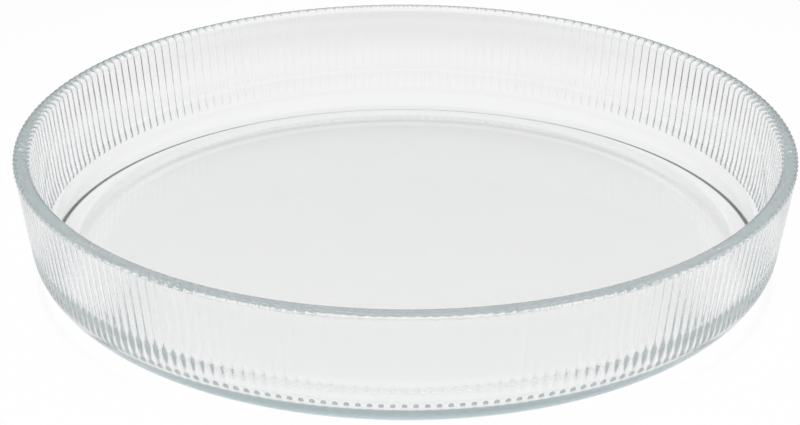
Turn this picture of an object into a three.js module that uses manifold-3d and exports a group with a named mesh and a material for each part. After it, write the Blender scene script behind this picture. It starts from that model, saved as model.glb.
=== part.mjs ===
// A round glass baking dish: a flat base, a rounded foot, a wall with fine upright reeds on its
// outside, and a smooth rounded rim. The real dish is pressed in one piece. Here its four moulded
// zones are separate solids that meet on level planes, so that each can be handled by itself.
// Millimetres, +Z up. The origin is the middle of the base, on the surface that the dish stands on.
import * as THREE from "three";
import { mergeVertices } from "three/addons/utils/BufferGeometryUtils.js";
import Module from "manifold-3d";

// Driving dimensions
const rimRadius = 140; // outside of the rim, the widest place of the dish
const height = 46; // from the base to the top of the rim
const wallThickness = 5; // level distance from the inside of the wall to the crests of the reeds
const wallLevel = 22; // height at which the wall has that thickness
const floorThickness = 5.8; // glass under the food
const outerDraft = 8.3; // degrees that the outside of the wall leans outwards
const innerDraft = 6; // degrees that the inside leans, less than the outside: the wall thickens upwards
const coveCurve = 16.5; // radius of the rounded corner inside, between floor and wall
const footCurve = 16; // radius of the rounded corner outside, between base and wall
const rimProud = 0.3; // how far the rim stands out past the crests of the reeds
const rimSide = 0.3; // upright part of the rim's outside, between the reeds and the rounded edge
const outerLip = 1.7; // radius of the rim's rounded edge outside
const innerLip = 1.9; // radius of the rim's rounded edge inside
const reedCount = 230; // upright reeds round the wall
const reedDepth = 0.42; // from the crest of a reed to the valley beside it

// Fineness of the round surfaces
const roundSegments = 96; // flats round a smooth ring
const cornerSteps = 5; // chords in the foot's curve and in the cove
const lipSteps = 3; // chords in each rounded edge of the rim
const reedSteps = 3; // points across one reed
const cutMargin = 1; // how far the hollow's cutter runs past the wall, so that it cuts right through

// Sizes that follow from these
const outerLean = THREE.MathUtils.degToRad(outerDraft);
const innerLean = THREE.MathUtils.degToRad(innerDraft);
const reedTop = height - outerLip - rimSide;
const runOut = Math.acos(1 - (reedDepth * Math.cos(outerLean)) / footCurve);
const reedBottom = footCurve * (1 - Math.sin(outerLean + runOut)); // the valleys come out of the foot here

// The two leaning faces of the wall, each by its radius at one level and its lean
const crests = { radius: rimRadius - rimProud, level: reedTop, lean: outerLean };
const lining = {
  radius: leaningRadius(crests, wallLevel) - wallThickness, level: wallLevel, lean: innerLean,
};

const glassColour = 0xdde8e6;
const baseColour = 0xbfd6d8; // the thick edge of the base looks a little bluer
const glassRoughness = 0.06;

const wasm = await Module();
wasm.setup();

// Points of a round corner in section, from one angle to another.
function roundCorner(centre, radius, fromAngle, toAngle, steps) {
  return Array.from({ length: steps + 1 }, (_, step) => {
    const angle = THREE.MathUtils.lerp(fromAngle, toAngle, step / steps);
    const spoke = new THREE.Vector2(Math.cos(angle), Math.sin(angle));
    return spoke.multiplyScalar(radius).add(centre);
  });
}

// Radius of a leaning face at a height.
function leaningRadius(face, level) {
  return face.radius + (level - face.level) * Math.tan(face.lean);
}

// One face of the dish in section, from its flat up through a round corner to the leaning wall.
function sectionFace(face, flatLevel, corner) {
  const centreLevel = flatLevel + corner;
  const centreRadius = leaningRadius(face, centreLevel) - corner / Math.cos(face.lean);
  const centre = new THREE.Vector2(centreRadius, centreLevel);
  const curve = roundCorner(centre, corner, -Math.PI / 2, -face.lean, cornerSteps);
  curve[0].y = flatLevel;
  return [...curve, new THREE.Vector2(leaningRadius(face, height), height)];
}

// The point of a face at a height.
function pointAt(face, level) {
  const above = Math.max(1, face.findIndex((point) => point.y >= level));
  const [start, end] = [face[above - 1], face[above]];
  return start.clone().lerp(end, (level - start.y) / (end.y - start.y)).setY(level);
}

// The stretch of a face between two heights.
function between(face, low, high) {
  const inner = face.filter((point) => point.y > low && point.y < high);
  return [pointAt(face, low), ...inner, pointAt(face, high)];
}

// A solid of revolution about Z from a section that closes on itself or on the axis.
function turned(section) {
  return new THREE.LatheGeometry(section, roundSegments).rotateX(Math.PI / 2);
}

// A smooth ring between an outside and an inside stretch that both run upwards.
function turnedRing(outer, inner) {
  return turned([...outer, ...inner.toReversed(), outer[0]]);
}

// A closed solid with reeds round it, through the levels of an outside stretch. The valleys between
// the reeds run straight down, so they grow shallow and end where the foot's curve draws in.
function reededBody(outer) {
  const around = reedCount * reedSteps;
  const positions = [];
  outer.forEach((level) => {
    for (let spot = 0; spot < around; spot += 1) {
      const across = (2 * (spot % reedSteps)) / reedSteps - 1;
      const dip = (reedDepth * (1 - Math.cos(Math.PI * across))) / 2;
      const radius = Math.min(level.x, leaningRadius(crests, level.y) - dip);
      const angle = (2 * Math.PI * spot) / around;
      positions.push(radius * Math.cos(angle), radius * Math.sin(angle), level.y);
    }
  });
  const lowMiddle = outer.length * around;
  const highMiddle = lowMiddle + 1;
  const highRing = (outer.length - 1) * around;
  positions.push(0, 0, outer[0].y, 0, 0, outer.at(-1).y);
  const faces = [];
  for (let spot = 0; spot < around; spot += 1) {
    const next = (spot + 1) % around;
    for (let ring = 0; ring < highRing; ring += around) {
      faces.push(ring + spot, ring + next, ring + around + next);
      faces.push(ring + spot, ring + around + next, ring + around + spot);
    }
    faces.push(lowMiddle, next, spot);
    faces.push(highMiddle, highRing + spot, highRing + next);
  }
  const geometry = new THREE.BufferGeometry();
  geometry.setAttribute("position", new THREE.Float32BufferAttribute(positions, 3));
  return geometry.setIndex(faces);
}

// A closed geometry as a solid that can be cut.
function solidOf(geometry) {
  const bare = geometry.clone().deleteAttribute("normal").deleteAttribute("uv");
  const merged = mergeVertices(bare);
  return new wasm.Manifold(
    new wasm.Mesh({
      numProp: 3,
      vertProperties: merged.getAttribute("position").array,
      triVerts: new Uint32Array(merged.index.array),
    }),
  );
}

// A cut solid as a geometry.
function geometryOf(solid) {
  const { vertProperties, triVerts } = solid.getMesh();
  const geometry = new THREE.BufferGeometry();
  geometry.setAttribute("position", new THREE.BufferAttribute(vertProperties, 3));
  geometry.setIndex(new THREE.BufferAttribute(triVerts, 1));
  geometry.computeVertexNormals();
  return geometry;
}

const outside = sectionFace(crests, 0, footCurve);
const inside = sectionFace(lining, floorThickness, coveCurve);

// The flat base: a solid disc as thick as the floor, with the lower part of the foot's curve.
function basePlate() {
  const edge = between(outside, 0, floorThickness);
  return turned([new THREE.Vector2(0, 0), ...edge, new THREE.Vector2(0, floorThickness)]);
}

// The smooth ring of the foot, from the level of the floor to the lower ends of the reeds.
function footRing() {
  return turnedRing(
    between(outside, floorThickness, reedBottom),
    between(inside, floorThickness, reedBottom),
  );
}

// The reeded wall: a reeded body, hollowed to the cove and the smooth inside of the wall.
function reededWall() {
  const body = solidOf(reededBody(between(outside, reedBottom, reedTop)));
  const hollow = between(inside, reedBottom, reedTop);
  const cutterEnd = (point, level) => [new THREE.Vector2(point.x, level), new THREE.Vector2(0, level)];
  const cutter = solidOf(
    turned([
      ...cutterEnd(hollow[0], reedBottom - cutMargin).reverse(),
      ...hollow,
      ...cutterEnd(hollow.at(-1), reedTop + cutMargin),
    ]),
  );
  return geometryOf(body.subtract(cutter));
}

// The smooth rim, with both of its upper edges rounded.
function rimBand() {
  const innerLevel = height - innerLip;
  const innerRadius = leaningRadius(lining, innerLevel) + innerLip / Math.cos(innerLean);
  const outerCentre = new THREE.Vector2(rimRadius - outerLip, height - outerLip);
  const innerCentre = new THREE.Vector2(innerRadius, innerLevel);
  const outerEdge = roundCorner(outerCentre, outerLip, 0, Math.PI / 2, lipSteps);
  const innerEdge = roundCorner(innerCentre, innerLip, Math.PI / 2, Math.PI - innerLean, lipSteps);
  const start = new THREE.Vector2(rimRadius, reedTop);
  return turned([start, ...outerEdge, ...innerEdge, pointAt(inside, reedTop), start]);
}

function glassMesh(name, geometry, color) {
  const material = new THREE.MeshStandardMaterial({ color, roughness: glassRoughness, metalness: 0 });
  const mesh = new THREE.Mesh(geometry, material);
  mesh.name = name;
  return mesh;
}

const dish = new THREE.Group();
dish.name = "baking_dish";
dish.add(glassMesh("base_plate", basePlate(), baseColour));
dish.add(glassMesh("foot_ring", footRing(), baseColour));
dish.add(glassMesh("reeded_wall", reededWall(), glassColour));
dish.add(glassMesh("rim", rimBand(), glassColour));

export default dish;
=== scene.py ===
"""Looks of a round glass baking dish: one clear body with a reeded wall, on a pale studio floor.

Metres, +Z up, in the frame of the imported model: the middle of the base is the origin.
"""
import logging
import math
from dataclasses import dataclass, field
from enum import Enum

import bpy
from mathutils import Matrix, Vector


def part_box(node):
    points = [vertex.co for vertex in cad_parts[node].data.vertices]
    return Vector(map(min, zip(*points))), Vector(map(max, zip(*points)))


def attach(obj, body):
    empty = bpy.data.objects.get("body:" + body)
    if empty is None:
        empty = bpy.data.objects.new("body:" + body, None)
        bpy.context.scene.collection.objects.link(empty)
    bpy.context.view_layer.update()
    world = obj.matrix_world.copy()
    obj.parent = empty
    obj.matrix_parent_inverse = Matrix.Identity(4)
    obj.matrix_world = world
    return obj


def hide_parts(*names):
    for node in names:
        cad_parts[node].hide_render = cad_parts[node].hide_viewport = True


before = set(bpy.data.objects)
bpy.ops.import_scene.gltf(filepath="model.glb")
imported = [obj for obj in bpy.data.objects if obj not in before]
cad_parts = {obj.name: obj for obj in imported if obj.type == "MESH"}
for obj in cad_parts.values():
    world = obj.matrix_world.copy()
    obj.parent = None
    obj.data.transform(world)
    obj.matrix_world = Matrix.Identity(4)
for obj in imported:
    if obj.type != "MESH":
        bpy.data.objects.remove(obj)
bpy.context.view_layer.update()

log = logging.getLogger("baking_dish")

MILLIMETRE = 0.001
QUARTER_TURN = 0.5 * math.pi
BODY = "root"
GLASS_BOUNCES = 256
SHADOW_BOUNCES = 32

Colour = tuple[float, float, float]
Face = tuple[int, ...]
Point2 = tuple[float, float]
Point3 = tuple[float, float, float]
Tree = bpy.types.NodeTree
Socket = bpy.types.NodeSocket


def spread(start: float, end: float, steps: int) -> list[float]:
    """Gives evenly spaced values from a start to an end, both included."""
    return [start + (end - start) * step / steps for step in range(steps + 1)]


def ease(part: float) -> float:
    """Gives a smooth rise from 0 to 1 for a part of the way from 0 to 1."""
    return 0.5 * (1.0 - math.cos(math.pi * part))


def opaque(colour: Colour) -> tuple[float, float, float, float]:
    """Gives a colour with full alpha."""
    return (*colour, 1.0)


def combine(tree: Tree, operation: str, first: Socket, second: Socket | float) -> Socket:
    """Builds a node that works out one value from two.

    Args:
        tree: The material's nodes.
        operation: Name of the node's operation.
        first: The first value.
        second: The second value, or a number.

    Returns:
        The result's output.
    """
    node = tree.nodes.new("ShaderNodeMath")
    node.operation = operation
    tree.links.new(first, node.inputs[0])
    if isinstance(second, float):
        node.inputs[1].default_value = second
    else:
        tree.links.new(second, node.inputs[1])
    return node.outputs["Value"]


def soft_step(tree: Tree, value: Socket, start: float, end: float) -> Socket:
    """Builds a soft step from 0 to 1.

    Args:
        tree: The material's nodes.
        value: What the step depends on.
        start: Where the step is still 0.
        end: Where it has reached 1.

    Returns:
        The step's output.
    """
    ramp = tree.nodes.new("ShaderNodeMapRange")
    ramp.interpolation_type = "SMOOTHSTEP"
    ramp.inputs["From Min"].default_value = start
    ramp.inputs["From Max"].default_value = end
    tree.links.new(value, ramp.inputs["Value"])
    return ramp.outputs["Result"]


class Fineness(Enum):
    """How closely the points of a ring lie: coarse on smooth surfaces, fine across the reeds."""

    COARSE = (-1.0, -1.0 / 3.0, 1.0 / 3.0)
    FINE = (-1.0, -0.9, -0.8, -0.7, -0.6, -0.45, 0.0, 0.45, 0.6, 0.7, 0.8, 0.9)


@dataclass(frozen=True)
class ReedPattern:
    """The upright reeds round the outside of the wall: even waves with soft crests and valleys.

    Attributes:
        count: Number of reeds round the dish.
        depth: Depth of the valleys under the crests.
        valley_share: Share of a reed's width that the valleys take; the rest is a level crest.
    """

    count: int = 230
    depth: float = 0.42 * MILLIMETRE
    valley_share: float = 0.9

    def dip(self, across: float) -> float:
        """Gives how far the surface lies under the crest circle.

        Args:
            across: Place across one reed, from -1 to 1, with 0 at its middle.

        Returns:
            The dip in metres.
        """
        reach = max(0.0, abs(across) - 1.0 + self.valley_share) / self.valley_share
        return self.depth * ease(reach)


@dataclass(frozen=True)
class Station:
    """One point of the dish's section, and the share of the reeds' depth that is worked into it."""

    radius: float
    level: float
    share: float = 0.0
    fineness: Fineness = Fineness.COARSE


@dataclass
class DishBody:
    """The whole dish as one closed glass body.

    Attributes:
        wall: Thickness of the wall at the waist, out to the crests.
        waist: Height at which the wall has that thickness.
        draft: Angle by which the outside leans outwards.
        inner_draft: Angle by which the inside leans outwards.
        cove: Radius of the round corner between floor and wall.
        foot: Radius of the round corner between base and wall.
        proud: How far the rim stands out past the crests.
        ledge: Height of the rounded step from the crests out to the rim.
        outer_lip: Height of the rim's rounded outer edge.
        outer_run: Width of that edge.
        inner_lip: Radius of the rim's rounded inner edge.
        notch: Share of the reeds' depth that is worked into the rim's outer edge.
        reed_end: Height at which the valleys end in the foot.
        end_slope: Height of the slope in which they end.
        support: Distance of the extra rings that keep a surface straight up to its corner.
        flat_ring: Place of the ring on base and floor, as a share of the flat's radius.
        corner_steps: Steps round the smooth part of the foot, and round the cove.
        slope_steps: Steps in the slope that ends the valleys.
        curve_steps: Steps from there to the straight wall.
        ledge_steps: Steps in the ledge.
        lip_steps: Steps round each edge of the rim.
        wall_steps: Steps along the straight wall.
        reeds: The reeds outside.
    """

    wall: float = 5.0 * MILLIMETRE
    waist: float = 22.0 * MILLIMETRE
    draft: float = math.radians(8.3)
    inner_draft: float = math.radians(6.0)
    cove: float = 16.5 * MILLIMETRE
    foot: float = 16.0 * MILLIMETRE
    proud: float = 0.3 * MILLIMETRE
    ledge: float = 0.3 * MILLIMETRE
    outer_lip: float = 1.2 * MILLIMETRE
    outer_run: float = 3.0 * MILLIMETRE
    inner_lip: float = 1.9 * MILLIMETRE
    notch: float = 1.0
    reed_end: float = 10.5 * MILLIMETRE
    end_slope: float = 1.9 * MILLIMETRE
    support: float = 0.35 * MILLIMETRE
    flat_ring: float = 0.5
    corner_steps: int = 12
    slope_steps: int = 6
    curve_steps: int = 3
    ledge_steps: int = 3
    lip_steps: int = 6
    wall_steps: int = 4
    reeds: ReedPattern = field(default_factory=ReedPattern)

    def __post_init__(self) -> None:
        """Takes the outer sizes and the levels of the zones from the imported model."""
        self.rim_radius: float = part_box("rim")[1].x
        self.height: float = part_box("rim")[1].z
        self.floor_level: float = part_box("base_plate")[1].z
        self.rim_level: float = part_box("rim")[0].z
        self.reed_top: float = self.height - self.outer_lip - self.ledge

    def crest(self, level: float) -> float:
        """Gives the radius of the reeds' crests at a height; they lean outwards."""
        return self.rim_radius - self.proud + (level - self.rim_level) * math.tan(self.draft)

    def inner_radius(self, level: float) -> float:
        """Gives the radius of the wall's inside at a height; the wall thickens towards the rim."""
        middle = self.crest(self.waist) - self.wall
        return middle + (level - self.waist) * math.tan(self.inner_draft)

    def cove_points(self) -> list[Point2]:
        """Gives the round corner inside.

        Returns:
            Its points (radius, level), from the floor up to the wall.
        """
        centre_level = self.floor_level + self.cove
        centre = self.inner_radius(centre_level) - self.cove / math.cos(self.inner_draft)
        return [
            (centre + self.cove * math.cos(turn), centre_level + self.cove * math.sin(turn))
            for turn in spread(-QUARTER_TURN, -self.inner_draft, self.corner_steps)
        ]

    def foot_point(self, turn: float) -> Point2:
        """Gives the radius and level where the foot's surface faces by an angle below level."""
        centre = self.crest(self.foot) - self.foot / math.cos(self.draft)
        return centre + self.foot * math.cos(turn), self.foot - self.foot * math.sin(turn)

    def foot_turn(self, level: float) -> float:
        """Gives the angle below level by which the foot's surface faces at a height."""
        return math.asin(1.0 - level / self.foot)

    def outside_stations(self) -> list[Station]:
        """Gives the outside of the section.

        Returns:
            Its stations, from the base's flat to under the rim.
        """
        flat = self.foot_point(QUARTER_TURN)[0]
        turns = spread(QUARTER_TURN, self.foot_turn(self.reed_end), self.corner_steps)[:-1]
        stations = [Station(self.flat_ring * flat, 0.0), Station(flat - self.support, 0.0)]
        stations += [Station(*self.foot_point(turn)) for turn in turns]
        return stations + self.valley_stations() + self.wall_stations()

    def valley_stations(self) -> list[Station]:
        """Gives the reeded part of the foot's curve, where the valleys end in a short slope.

        Returns:
            Its stations, from the lower ends of the valleys to the straight wall.
        """
        low_turn = self.foot_turn(self.reed_end)
        high_turn = self.foot_turn(self.reed_end + self.end_slope)
        stations = []
        for step, turn in enumerate(spread(low_turn, high_turn, self.slope_steps)):
            share = ease(step / self.slope_steps)
            stations.append(Station(*self.foot_point(turn), share, Fineness.FINE))
        for turn in spread(high_turn, self.draft, self.curve_steps)[1:]:
            stations.append(Station(*self.foot_point(turn), 1.0, Fineness.FINE))
        return stations

    def wall_stations(self) -> list[Station]:
        """Gives the straight reeded wall.

        Returns:
            Its stations, from the upper end of the foot's curve to under the rim.
        """
        start = self.foot_point(self.draft)[1]
        levels = spread(start, self.reed_top - self.support, self.wall_steps)[1:]
        return [
            Station(self.crest(level), level, 1.0, Fineness.FINE)
            for level in [*levels, self.reed_top]
        ]

    def rim_stations(self) -> list[Station]:
        """Gives the rim of the section, from its outer edge over the top to its inner edge."""
        return self.ledge_stations() + self.outer_lip_stations() + self.inner_lip_stations()

    def ledge_stations(self) -> list[Station]:
        """Gives the rounded step from the crests out to the rim.

        Returns:
            Its stations, upwards.
        """
        start = self.crest(self.reed_top)
        stations = []
        for turn in spread(0.0, QUARTER_TURN, self.ledge_steps)[1:]:
            radius = start + (self.rim_radius - start) * math.sin(turn)
            level = self.reed_top + self.ledge * (1.0 - math.cos(turn))
            stations.append(Station(radius, level, self.notch, Fineness.FINE))
        return stations

    def outer_lip_stations(self) -> list[Station]:
        """Gives the rim's rounded outer edge, whose notches fade out towards the top.

        Returns:
            Its stations, upwards.
        """
        centre = self.rim_radius - self.outer_run
        centre_level = self.height - self.outer_lip
        stations = []
        for step, turn in enumerate(spread(0.0, QUARTER_TURN, self.lip_steps)):
            radius = centre + self.outer_run * math.cos(turn)
            level = centre_level + self.outer_lip * math.sin(turn)
            share = self.notch * math.cos(turn)
            fineness = Fineness.FINE if step < self.lip_steps else Fineness.COARSE
            stations.append(Station(radius, level, share, fineness))
        return stations

    def inner_lip_stations(self) -> list[Station]:
        """Gives the rim's rounded inner edge.

        Returns:
            Its stations, from the top down to the wall's inside.
        """
        centre_level = self.height - self.inner_lip
        centre = self.inner_radius(centre_level) + self.inner_lip / math.cos(self.inner_draft)
        return [
            Station(
                centre + self.inner_lip * math.cos(turn),
                centre_level + self.inner_lip * math.sin(turn),
            )
            for turn in spread(QUARTER_TURN, math.pi - self.inner_draft, self.lip_steps)
        ]

    def inside_stations(self) -> list[Station]:
        """Gives the inside of the section.

        Returns:
            Its stations, from under the rim down to the flat of the floor.
        """
        corner = self.cove_points()
        start = self.height - self.inner_lip * (1.0 - math.sin(self.inner_draft))
        levels = spread(start, corner[-1][1], self.wall_steps)[1:]
        stations = [Station(self.inner_radius(level), level) for level in levels]
        stations += [Station(radius, level) for radius, level in reversed(corner[:-1])]
        flat = corner[0][0]
        stations.append(Station(flat - self.support, self.floor_level))
        stations.append(Station(self.flat_ring * flat, self.floor_level))
        return stations

    def ring(self, station: Station) -> list[Point3]:
        """Gives the points of one ring of the body.

        Args:
            station: The point of the section to turn.

        Returns:
            The ring's points, counter-clockwise from above.
        """
        pitch = 2.0 * math.pi / self.reeds.count
        points = []
        for reed in range(self.reeds.count):
            for across in station.fineness.value:
                radius = station.radius - station.share * self.reeds.dip(across)
                turn = pitch * (reed + 0.5 * across)
                points.append((radius * math.cos(turn), radius * math.sin(turn), station.level))
        return points

    def build(self) -> bpy.types.Object:
        """Builds the closed body.

        Returns:
            The new object, linked to the scene.
        """
        stations = self.outside_stations() + self.rim_stations() + self.inside_stations()
        points: list[Point3] = [(0.0, 0.0, 0.0)]
        faces: list[Face] = []
        rings: list[range] = []
        for station in stations:
            ring = self.ring(station)
            rings.append(range(len(points), len(points) + len(ring)))
            points += ring
        points.append((0.0, 0.0, self.floor_level))
        for low, high in zip(rings, rings[1:]):
            faces += self.join(low, high)
        first, last = rings[0], rings[-1]
        for spot in range(len(first)):
            faces.append((0, first[(spot + 1) % len(first)], first[spot]))
        for spot in range(len(last)):
            faces.append((len(points) - 1, last[spot], last[(spot + 1) % len(last)]))
        mesh = bpy.data.meshes.new("dish_body")
        mesh.from_pydata(points, [], faces)
        mesh.validate()
        mesh.update()
        mesh.shade_smooth()
        piece = bpy.data.objects.new("dish_body", mesh)
        bpy.context.scene.collection.objects.link(piece)
        return piece

    def join(self, low: range, high: range) -> list[Face]:
        """Joins two neighbouring rings, which may have different numbers of points.

        Args:
            low: Points of the ring that comes first along the section.
            high: Points of the ring that comes next.

        Returns:
            The faces between them.
        """
        if len(low) == len(high):
            count = len(low)
            return [
                (low[spot], low[(spot + 1) % count], high[(spot + 1) % count], high[spot])
                for spot in range(count)
            ]
        faces: list[Face] = []
        low_count = len(low) // self.reeds.count
        high_count = len(high) // self.reeds.count
        for reed in range(self.reeds.count):
            low_spot = 0
            high_spot = 0
            while low_spot < low_count or high_spot < high_count:
                low_place = reed * low_count + low_spot
                high_place = reed * high_count + high_spot
                low_at = low[low_place % len(low)]
                high_at = high[high_place % len(high)]
                if low_spot * high_count <= high_spot * low_count and low_spot < low_count:
                    faces.append((low_at, low[(low_place + 1) % len(low)], high_at))
                    low_spot += 1
                else:
                    faces.append((low_at, high[(high_place + 1) % len(high)], high_at))
                    high_spot += 1
        return faces

    def dress(self, piece: bpy.types.Object, finish: "ClearGlass") -> None:
        """Puts the finish on the body and sets it in the frame.

        Args:
            piece: The dish body.
            finish: Its glass.
        """
        piece.data.materials.append(finish.material())
        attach(piece, BODY)
        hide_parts("base_plate", "foot_ring", "reeded_wall", "rim")


@dataclass(frozen=True)
class ClearGlass:
    """Pressed clear glass, faintly grey-green, with painted light on the thick foot: a blue on its
    outside that stands in for the light the foot gathers.

    Attributes:
        index: Refraction.
        body_colour: Colour of the light that the body lets through.
        body_density: How strongly the body takes away the rest.
        painted_foot_light_colour: Painted light on the foot's outside, a blue that stands in for
            the light gathered in the thick foot.
        foot_radius: Radius from which the painted light on the foot starts.
        foot_radius_edge: Width of the painted light's soft start there.
        foot_level: Height up to which the painted light on the foot is full.
        foot_level_edge: Height over which the painted light fades above it.
        floor_radius: Radius of the floor's softer face.
        floor_radius_edge: Width over which it sets in.
        floor_level: Height under which a face belongs to the floor.
        floor_level_edge: Height over which that sets in.
        floor_roughness: Roughness of the floor's face.
        polish: Largest roughness elsewhere, in a fine grain.
        polish_scale: Fineness of that grain.
        wave: Height of the gentle waves of pressed glass.
        wave_scale: Fineness of the waves.
        shadow_flat: Share of the light that passes where the glass lies level.
        shadow_edge: Share of the light that passes where its inside is steep.
        shadow_start: Steepness at which the shadow starts.
        shadow_end: Steepness at which it is full.
    """

    index: float = 1.5
    body_colour: Colour = (0.22, 0.47, 0.5)
    body_density: float = 1.6
    painted_foot_light_colour: Colour = (0.7, 0.93, 0.98)
    foot_radius: float = 126.5 * MILLIMETRE
    foot_radius_edge: float = 1.0 * MILLIMETRE
    foot_level: float = 8.5 * MILLIMETRE
    foot_level_edge: float = 2.0 * MILLIMETRE
    floor_radius: float = 112.0 * MILLIMETRE
    floor_radius_edge: float = 4.0 * MILLIMETRE
    floor_level: float = 7.0 * MILLIMETRE
    floor_level_edge: float = 1.0 * MILLIMETRE
    floor_roughness: float = 0.12
    polish: float = 0.015
    polish_scale: float = 90.0
    wave: float = 0.02 * MILLIMETRE
    wave_scale: float = 45.0
    shadow_flat: Colour = (0.99, 0.99, 0.99)
    shadow_edge: Colour = (0.05, 0.06, 0.06)
    shadow_start: float = 0.8
    shadow_end: float = 0.92

    def material(self) -> bpy.types.Material:
        """Builds the glass material.

        Returns:
            The new material.
        """
        material = bpy.data.materials.new("clear_glass")
        material.use_nodes = True
        tree = material.node_tree
        tree.nodes.clear()
        output = tree.nodes.new("ShaderNodeOutputMaterial")
        path = tree.nodes.new("ShaderNodeLightPath")
        mix = tree.nodes.new("ShaderNodeMixShader")
        tree.links.new(path.outputs["Is Shadow Ray"], mix.inputs["Fac"])
        tree.links.new(self.surface(tree), mix.inputs[1])
        tree.links.new(self.shadow(tree), mix.inputs[2])
        tree.links.new(mix.outputs["Shader"], output.inputs["Surface"])
        tint = tree.nodes.new("ShaderNodeVolumeAbsorption")
        tint.inputs["Color"].default_value = opaque(self.body_colour)
        tint.inputs["Density"].default_value = self.body_density
        tree.links.new(tint.outputs["Volume"], output.inputs["Volume"])
        return material

    def surface(self, tree: Tree) -> Socket:
        """Builds the glass surface as it is seen.

        Args:
            tree: The material's nodes.

        Returns:
            The shader's output.
        """
        glass = tree.nodes.new("ShaderNodeBsdfPrincipled")
        glass.inputs["Transmission Weight"].default_value = 1.0
        glass.inputs["IOR"].default_value = self.index
        place = tree.nodes.new("ShaderNodeTexCoord").outputs["Object"]
        radius = self.radius(tree, place)
        split = tree.nodes.new("ShaderNodeSeparateXYZ")
        tree.links.new(place, split.inputs["Vector"])
        level = split.outputs["Z"]
        roughness = combine(
            tree, "ADD", self.floor_blur(tree, radius, level), self.grain(tree, place)
        )
        # the Base Color carries painted light: a blue on the foot's outside
        tree.links.new(self.painted_foot_light(tree, radius, level), glass.inputs["Base Color"])
        tree.links.new(roughness, glass.inputs["Roughness"])
        tree.links.new(self.waves(tree, place), glass.inputs["Normal"])
        return glass.outputs["BSDF"]

    def radius(self, tree: Tree, place: Socket) -> Socket:
        """Builds the distance from the dish's axis.

        Args:
            tree: The material's nodes.
            place: The place on the dish.

        Returns:
            The distance's output.
        """
        level_free = tree.nodes.new("ShaderNodeVectorMath")
        level_free.operation = "MULTIPLY"
        level_free.inputs[1].default_value = (1.0, 1.0, 0.0)
        length = tree.nodes.new("ShaderNodeVectorMath")
        length.operation = "LENGTH"
        tree.links.new(place, level_free.inputs[0])
        tree.links.new(level_free.outputs["Vector"], length.inputs[0])
        return length.outputs["Value"]

    def painted_foot_light(self, tree: Tree, radius: Socket, level: Socket) -> Socket:
        """Builds the painted light on the foot's outside: a blue that stands in for the light
        gathered in the thick foot.

        Args:
            tree: The material's nodes.
            radius: Distance from the dish's axis.
            level: Height above the base.

        Returns:
            The colour's output.
        """
        side = tree.nodes.new("ShaderNodeNewGeometry")
        low = soft_step(tree, level, self.foot_level + self.foot_level_edge, self.foot_level)
        outer = soft_step(
            tree, radius, self.foot_radius, self.foot_radius + self.foot_radius_edge
        )
        outside = soft_step(tree, side.outputs["Backfacing"], 1.0, 0.0)
        foot = combine(tree, "MULTIPLY", combine(tree, "MULTIPLY", low, outer), outside)
        # painted light: a blue standing in for the light gathered in the thick foot
        colour = tree.nodes.new("ShaderNodeValToRGB")
        clear, painted_teal = colour.color_ramp.elements
        clear.color = opaque((1.0, 1.0, 1.0))
        painted_teal.color = opaque(self.painted_foot_light_colour)
        tree.links.new(foot, colour.inputs["Fac"])
        return colour.outputs["Color"]

    def floor_blur(self, tree: Tree, radius: Socket, level: Socket) -> Socket:
        """Builds the roughness of the floor's face.

        Args:
            tree: The material's nodes.
            radius: Distance from the dish's axis.
            level: Height above the base.

        Returns:
            The roughness's output.
        """
        inner = soft_step(
            tree, radius, self.floor_radius, self.floor_radius - self.floor_radius_edge
        )
        flat = soft_step(tree, level, self.floor_level, self.floor_level - self.floor_level_edge)
        floor = combine(tree, "MULTIPLY", inner, flat)
        return combine(tree, "MULTIPLY", floor, self.floor_roughness)

    def grain(self, tree: Tree, place: Socket) -> Socket:
        """Builds the fine grain of the polish.

        Args:
            tree: The material's nodes.
            place: The place on the dish.

        Returns:
            The roughness's output.
        """
        polish = tree.nodes.new("ShaderNodeTexNoise")
        polish.inputs["Scale"].default_value = self.polish_scale
        grain = tree.nodes.new("ShaderNodeMapRange")
        grain.inputs["To Min"].default_value = 0.0
        grain.inputs["To Max"].default_value = self.polish
        tree.links.new(place, polish.inputs["Vector"])
        tree.links.new(polish.outputs["Fac"], grain.inputs["Value"])
        return grain.outputs["Result"]

    def waves(self, tree: Tree, place: Socket) -> Socket:
        """Builds the gentle waves of pressed glass.

        Args:
            tree: The material's nodes.
            place: The place on the dish.

        Returns:
            The surface direction's output.
        """
        wave = tree.nodes.new("ShaderNodeTexNoise")
        wave.inputs["Scale"].default_value = self.wave_scale
        bump = tree.nodes.new("ShaderNodeBump")
        bump.inputs["Strength"].default_value = 1.0
        bump.inputs["Distance"].default_value = self.wave
        tree.links.new(place, wave.inputs["Vector"])
        tree.links.new(wave.outputs["Fac"], bump.inputs["Height"])
        return bump.outputs["Normal"]

    def shadow(self, tree: Tree) -> Socket:
        """Builds the light that reaches the floor: less where the inside of the glass is steep.

        Args:
            tree: The material's nodes.

        Returns:
            The shader's output.
        """
        clear = tree.nodes.new("ShaderNodeBsdfTransparent")
        edge = tree.nodes.new("ShaderNodeLayerWeight")
        edge.inputs["Blend"].default_value = 0.5
        side = tree.nodes.new("ShaderNodeNewGeometry")
        veil = tree.nodes.new("ShaderNodeValToRGB")
        flat, steep = veil.color_ramp.elements
        flat.position, flat.color = self.shadow_start, opaque(self.shadow_flat)
        steep.position, steep.color = self.shadow_end, opaque(self.shadow_edge)
        inside = combine(tree, "MULTIPLY", edge.outputs["Facing"], side.outputs["Backfacing"])
        tree.links.new(inside, veil.inputs["Fac"])
        tree.links.new(veil.outputs["Color"], clear.inputs["Color"])
        return clear.outputs["BSDF"]


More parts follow.
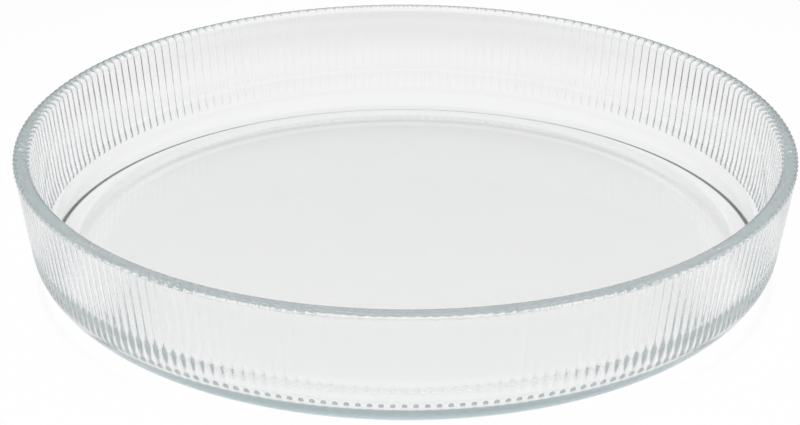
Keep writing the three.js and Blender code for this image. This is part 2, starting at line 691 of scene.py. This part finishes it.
@dataclass(frozen=True)
class StudioFloor:
    """The paper floor that the dish stands on, with a painted pool of light: pale round the dish,
    and darkened by painted shade far from it.

    Attributes:
        half_width: Half the length of the floor's sides.
        drop: How far the floor lies under the base.
        near_colour: Colour of the paper round the dish, inside the painted pool of light.
        painted_shade_colour: Painted shade of the paper far from the dish.
        pool_start: Distance from the dish's middle at which the painted shade starts.
        pool_end: Distance at which the painted shade is darkest.
        seen_share: Share of plain white where the floor is seen directly.
        glass_share: Share of plain white where it is seen in or through the glass.
    """

    half_width: float = 3.0
    drop: float = 0.05 * MILLIMETRE
    near_colour: Colour = (0.9, 0.9, 0.9)
    painted_shade_colour: Colour = (0.08, 0.08, 0.08)
    pool_start: float = 0.2
    pool_end: float = 0.7
    seen_share: float = 0.94
    glass_share: float = 0.06

    def build(self) -> bpy.types.Object:
        """Builds the floor.

        Returns:
            The floor object.
        """
        corners = [(-1, -1), (1, -1), (1, 1), (-1, 1)]
        points = [(x * self.half_width, y * self.half_width, -self.drop) for x, y in corners]
        mesh = bpy.data.meshes.new("studio_floor")
        mesh.from_pydata(points, [], [(0, 1, 2, 3)])
        mesh.update()
        floor = bpy.data.objects.new("studio_floor", mesh)
        bpy.context.scene.collection.objects.link(floor)
        mesh.materials.append(self.material())
        return floor

    def material(self) -> bpy.types.Material:
        """Builds the floor's finish.

        Returns:
            The new material.
        """
        material = bpy.data.materials.new("white_paper")
        material.use_nodes = True
        tree = material.node_tree
        tree.nodes.clear()
        output = tree.nodes.new("ShaderNodeOutputMaterial")
        white = tree.nodes.new("ShaderNodeEmission")
        mix = tree.nodes.new("ShaderNodeMixShader")
        tree.links.new(self.white_share(tree), mix.inputs["Fac"])
        tree.links.new(self.paper(tree), mix.inputs[1])
        tree.links.new(white.outputs["Emission"], mix.inputs[2])
        tree.links.new(mix.outputs["Shader"], output.inputs["Surface"])
        return material

    def paper(self, tree: Tree) -> Socket:
        """Builds the lit paper, whose colour darkens away from the dish in painted shade round a
        painted pool of light.

        Args:
            tree: The material's nodes.

        Returns:
            The shader's output.
        """
        paper = tree.nodes.new("ShaderNodeBsdfDiffuse")
        coords = tree.nodes.new("ShaderNodeTexCoord")
        reach = tree.nodes.new("ShaderNodeVectorMath")
        reach.operation = "LENGTH"
        pool = tree.nodes.new("ShaderNodeMapRange")
        pool.inputs["From Min"].default_value = self.pool_start
        pool.inputs["From Max"].default_value = self.pool_end
        # painted pool of light: the paper's colour fades to painted shade away from the dish
        shade = tree.nodes.new("ShaderNodeValToRGB")
        near, far = shade.color_ramp.elements
        near.color = opaque(self.near_colour)
        far.color = opaque(self.painted_shade_colour)
        tree.links.new(coords.outputs["Object"], reach.inputs[0])
        tree.links.new(reach.outputs["Value"], pool.inputs["Value"])
        tree.links.new(pool.outputs["Result"], shade.inputs["Fac"])
        tree.links.new(shade.outputs["Color"], paper.inputs["Color"])
        return paper.outputs["BSDF"]

    def white_share(self, tree: Tree) -> Socket:
        """Builds the share of plain white, by how the floor is seen.

        Args:
            tree: The material's nodes.

        Returns:
            The share's output.
        """
        path = tree.nodes.new("ShaderNodeLightPath").outputs
        glassy = combine(tree, "MAXIMUM", path["Is Glossy Ray"], path["Is Transmission Ray"])
        through = combine(tree, "MULTIPLY", glassy, self.glass_share)
        seen = combine(tree, "MULTIPLY", path["Is Camera Ray"], self.seen_share)
        return combine(tree, "MAXIMUM", through, seen)


@dataclass(frozen=True)
class Studio:
    """Soft studio light: a room, pale overhead and dim at eye level, and a far lamp overhead.

    Attributes:
        room_low: Brightness of the room at eye level.
        room_high: Brightness of the room overhead.
        low_end: Upward part of the direction up to which the room is dim.
        high_start: Upward part of the direction from which it is pale.
        lamp_strength: Strength of the lamp.
        lamp_spread: Angle that the lamp fills.
        lamp_tilt: Angle by which the lamp stands behind the dish.
    """

    room_low: Colour = (0.03, 0.03, 0.03)
    room_high: Colour = (0.85, 0.85, 0.85)
    low_end: float = 0.15
    high_start: float = 0.55
    lamp_strength: float = 3.2
    lamp_spread: float = math.radians(1.5)
    lamp_tilt: float = math.radians(6.0)

    def build(self) -> None:
        """Builds the room and the lamp."""
        self.build_room()
        self.build_lamp()

    def build_room(self) -> None:
        """Builds the room, which shows in the glass and doesn't light the floor."""
        world = bpy.data.worlds.new("studio")
        bpy.context.scene.world = world
        world.cycles_visibility.diffuse = False
        world.use_nodes = True
        nodes = world.node_tree.nodes
        links = world.node_tree.links
        coords = nodes.new("ShaderNodeTexCoord")
        split = nodes.new("ShaderNodeSeparateXYZ")
        ramp = nodes.new("ShaderNodeValToRGB")
        low, high = ramp.color_ramp.elements
        low.position, low.color = self.low_end, opaque(self.room_low)
        high.position, high.color = self.high_start, opaque(self.room_high)
        links.new(coords.outputs["Generated"], split.inputs["Vector"])
        links.new(split.outputs["Z"], ramp.inputs["Fac"])
        links.new(ramp.outputs["Color"], nodes["Background"].inputs["Color"])

    def build_lamp(self) -> None:
        """Builds the lamp, which lights the floor and doesn't show in the glass."""
        light = bpy.data.lights.new("far_lamp", "SUN")
        light.energy = self.lamp_strength
        light.angle = self.lamp_spread
        lamp = bpy.data.objects.new("far_lamp", light)
        lamp.visible_glossy = False
        lamp.visible_transmission = False
        lamp.rotation_euler = (-self.lamp_tilt, 0.0, 0.0)
        bpy.context.scene.collection.objects.link(lamp)


@dataclass(frozen=True)
class ViewCamera:
    """The camera at the photograph's viewing angle.

    Attributes:
        rise: Angle by which the camera looks down.
        distance: Distance from the middle of the base.
        aim: Point that the camera looks at.
        roll: Turn of the picture.
        focal_pixels: Focal length in pixels.
        frame_width: Width of the picture in pixels.
        sensor: Width of the sensor in millimetres.
    """

    rise: float = math.radians(25.927)
    distance: float = 0.882
    aim: Point3 = (-0.00187, 0.0, 0.01589)
    roll: float = math.radians(0.12)
    focal_pixels: float = 2397.8
    frame_width: int = 800
    sensor: float = 36.0

    def build(self) -> bpy.types.Object:
        """Builds the camera and makes it the scene's own.

        Returns:
            The camera object.
        """
        data = bpy.data.cameras.new("view_camera")
        data.sensor_fit = "HORIZONTAL"
        data.sensor_width = self.sensor
        data.lens = self.focal_pixels / self.frame_width * self.sensor
        camera = bpy.data.objects.new("view_camera", data)
        place = Vector((0.0, -math.cos(self.rise), math.sin(self.rise))) * self.distance
        look = (Vector(self.aim) - place).to_track_quat("-Z", "Y").to_matrix().to_4x4()
        turn = Matrix.Rotation(self.roll, 4, "Z")
        camera.matrix_world = Matrix.Translation(place) @ look @ turn
        bpy.context.scene.collection.objects.link(camera)
        bpy.context.scene.camera = camera
        return camera


def set_light_paths() -> None:
    """Lets light follow the many reflections inside the glass, and shows colours as they are."""
    cycles = bpy.context.scene.cycles
    cycles.max_bounces = GLASS_BOUNCES
    cycles.glossy_bounces = GLASS_BOUNCES
    cycles.transmission_bounces = GLASS_BOUNCES
    cycles.transparent_max_bounces = SHADOW_BOUNCES
    cycles.caustics_reflective = False
    cycles.caustics_refractive = False
    bpy.context.scene.view_settings.view_transform = "Standard"


def main() -> None:
    """Builds the dish, its floor, the light and the camera."""
    logging.basicConfig(level=logging.INFO, format="%(name)s: %(message)s")
    set_light_paths()
    ViewCamera().build()
    body = DishBody()
    piece = body.build()
    body.dress(piece, ClearGlass())
    log.info("%s: %d faces", piece.name, len(piece.data.polygons))
    floor = StudioFloor().build()
    log.info("%s: stage", floor.name)
    Studio().build()


if __name__ == "__main__":
    main()
